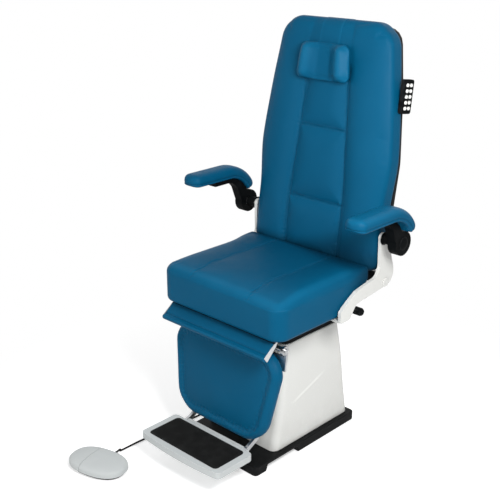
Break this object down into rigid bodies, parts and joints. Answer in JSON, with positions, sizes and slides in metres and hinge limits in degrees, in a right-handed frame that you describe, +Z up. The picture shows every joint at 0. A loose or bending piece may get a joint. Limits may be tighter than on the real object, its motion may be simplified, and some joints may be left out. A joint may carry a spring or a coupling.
{
  "type": "examination chair",
  "caption": "Powered examination chair: lifting seat, reclining back with head pillow, raising leg rest with folding footplate, flip-up arms, side keypad and foot switch.",
  "frame": {"origin": "underside of the base plate, on the axis of the lift column", "axes": "+Z up; the chair faces -Y; +X is the sitter's left"},
  "size_m": [0.8026, 1.0541, 1.4145],
  "materials": {
    "vinyl": "petrol-blue vinyl-coated upholstery fabric, satin",
    "white_shell": "warm-white moulded cover",
    "white_steel": "white powder coat",
    "black_steel": "black powder coat",
    "black_plastic": "black, fine grain",
    "zinc_steel": "zinc-plated steel",
    "grey_plastic": "pale grey, satin",
    "black_rubber": "black rubber",
    "white_button": "white push buttons"
  },
  "bodies": {
    "base": {"base_plate": "black_steel", "base_cover": "white_shell", "cover_collar": "black_plastic", "lift_column": "black_steel", "lift_jack": "black_plastic", "control_box": "black_plastic", "mains_inlet": "black_plastic", "cord_gland": "black_plastic", "switch_sole": "black_rubber", "switch_cord_relief": "black_rubber", "foot_switch_cord": "black_rubber"},
    "carriage": {"lift_mast": "zinc_steel", "lift_rod": "zinc_steel", "lift_shroud": "black_plastic", "seat_tray": "black_steel", "seat_cushion": "vinyl", "side_bracket_left": "white_steel", "side_bracket_right": "white_steel", "back_hinge_pin_left": "zinc_steel", "back_hinge_pin_right": "zinc_steel", "back_actuator": "black_plastic", "leg_actuator": "black_plastic", "lever_block": "black_steel"},
    "back": {"back_cushion": "vinyl", "back_frame": "black_steel", "back_shell": "black_plastic", "pillow_strap": "vinyl", "keypad_case": "black_plastic"},
    "back_rod": {"back_rod": "zinc_steel"},
    "leg": {"leg_cushion": "vinyl", "leg_frame": "zinc_steel", "leg_hinge_shaft": "zinc_steel"},
    "leg_rod": {"leg_rod": "zinc_steel"},
    "flap": {"knee_flap": "vinyl", "flap_plate": "zinc_steel"},
    "foot": {"footplate_frame": "grey_plastic", "footplate_mat": "black_rubber"},
    "arm_left": {"arm_pad_left": "vinyl", "arm_bracket_left": "black_plastic"},
    "arm_right": {"arm_pad_right": "vinyl", "arm_bracket_right": "black_plastic"},
    "pillow": {"head_pillow": "vinyl"},
    "lever": {"lever_rod": "black_steel", "lever_knob": "black_plastic"},
    "pedal_left": {"pedal_left": "grey_plastic"},
    "pedal_right": {"pedal_right": "grey_plastic"},
    "button_1": {"button_1": "white_button"},
    "button_2": {"button_2": "white_button"},
    "button_3": {"button_3": "white_button"},
    "button_4": {"button_4": "white_button"},
    "button_5": {"button_5": "white_button"},
    "button_6": {"button_6": "white_button"},
    "button_7": {"button_7": "white_button"},
    "button_8": {"button_8": "white_button"},
    "button_9": {"button_9": "white_button"},
    "button_10": {"button_10": "white_button"}
  },
  "joints": [
    {"name": "seat_lift", "type": "slide", "parent": "base", "child": "carriage", "axis": [0, 0, 1], "range_m": [0, 0.2]},
    {"name": "back_recline", "type": "hinge", "parent": "carriage", "child": "back", "pos_m": [0, 0.225, 0.57], "axis": [-1, 0, 0], "range_deg": [0, 70]},
    {"name": "back_rod_slide", "type": "slide", "parent": "carriage", "child": "back_rod", "axis": [0, -1, 0], "range_m": [0, 0.1271]},
    {"name": "leg_raise", "type": "hinge", "parent": "carriage", "child": "leg", "pos_m": [0, -0.215, 0.45], "axis": [-1, 0, 0], "range_deg": [0, 80]},
    {"name": "leg_rod_slide", "type": "slide", "parent": "carriage", "child": "leg_rod", "axis": [0, 1, 0], "range_m": [0, 0.0502]},
    {"name": "flap_lift", "type": "hinge", "parent": "carriage", "child": "flap", "pos_m": [0, -0.262, 0.4948], "axis": [-1, 0, 0], "range_deg": [0, 45.1]},
    {"name": "footplate_fold", "type": "hinge", "parent": "leg", "child": "foot", "pos_m": [0, -0.30015, 0.088], "axis": [-1, 0, 0], "range_deg": [0, 70]},
    {"name": "arm_left_flip", "type": "hinge", "parent": "carriage", "child": "arm_left", "pos_m": [0.3613, 0.207, 0.732], "axis": [-1, 0, 0], "range_deg": [0, 95]},
    {"name": "arm_right_flip", "type": "hinge", "parent": "carriage", "child": "arm_right", "pos_m": [-0.3613, 0.207, 0.732], "axis": [-1, 0, 0], "range_deg": [0, 95]},
    {"name": "pillow_slide", "type": "slide", "parent": "back", "child": "pillow", "axis": [0, 0.1305, 0.9914], "range_m": [-0.06, 0.04]},
    {"name": "lever_swing", "type": "hinge", "parent": "carriage", "child": "lever", "pos_m": [0.164, 0.125, 0.4811], "axis": [0, 0, 1], "range_deg": [0, 20], "stiffness_Nm_per_rad": 1.5, "springref_deg": -5.73},
    {"name": "button_1_press", "type": "slide", "parent": "back", "child": "button_1", "axis": [-1, 0, 0], "range_m": [0, 0.0015], "stiffness_N_per_m": 600, "springref_m": -0.001},
    {"name": "button_2_press", "type": "slide", "parent": "back", "child": "button_2", "axis": [-1, 0, 0], "range_m": [0, 0.0015], "stiffness_N_per_m": 600, "springref_m": -0.001},
    {"name": "button_3_press", "type": "slide", "parent": "back", "child": "button_3", "axis": [-1, 0, 0], "range_m": [0, 0.0015], "stiffness_N_per_m": 600, "springref_m": -0.001},
    {"name": "button_4_press", "type": "slide", "parent": "back", "child": "button_4", "axis": [-1, 0, 0], "range_m": [0, 0.0015], "stiffness_N_per_m": 600, "springref_m": -0.001},
    {"name": "button_5_press", "type": "slide", "parent": "back", "child": "button_5", "axis": [-1, 0, 0], "range_m": [0, 0.0015], "stiffness_N_per_m": 600, "springref_m": -0.001},
    {"name": "button_6_press", "type": "slide", "parent": "back", "child": "button_6", "axis": [-1, 0, 0], "range_m": [0, 0.0015], "stiffness_N_per_m": 600, "springref_m": -0.001},
    {"name": "button_7_press", "type": "slide", "parent": "back", "child": "button_7", "axis": [-1, 0, 0], "range_m": [0, 0.0015], "stiffness_N_per_m": 600, "springref_m": -0.001},
    {"name": "button_8_press", "type": "slide", "parent": "back", "child": "button_8", "axis": [-1, 0, 0], "range_m": [0, 0.0015], "stiffness_N_per_m": 600, "springref_m": -0.001},
    {"name": "button_9_press", "type": "slide", "parent": "back", "child": "button_9", "axis": [-1, 0, 0], "range_m": [0, 0.0015], "stiffness_N_per_m": 600, "springref_m": -0.001},
    {"name": "button_10_press", "type": "slide", "parent": "back", "child": "button_10", "axis": [-1, 0, 0], "range_m": [0, 0.0015], "stiffness_N_per_m": 600, "springref_m": -0.001},
    {"name": "pedal_left_press", "type": "hinge", "parent": "base", "child": "pedal_left", "pos_m": [-0.25847, -0.61935, 0.0203], "axis": [-0.2419, 0.9703, 0], "range_deg": [0, 4], "stiffness_Nm_per_rad": 8, "springref_deg": -4.01},
    {"name": "pedal_right_press", "type": "hinge", "parent": "base", "child": "pedal_right", "pos_m": [-0.28175, -0.62516, 0.0203], "axis": [0.2419, -0.9703, 0], "range_deg": [0, 4], "stiffness_Nm_per_rad": 8, "springref_deg": -4.01}
  ],
  "couplings": [
    {"joint": "back_rod_slide", "follows": "back_recline", "m_per_rad": 0.10362},
    {"joint": "leg_rod_slide", "follows": "leg_raise", "m_per_rad": 0.035577},
    {"joint": "flap_lift", "follows": "leg_raise", "ratio": 0.5625}
  ]
}
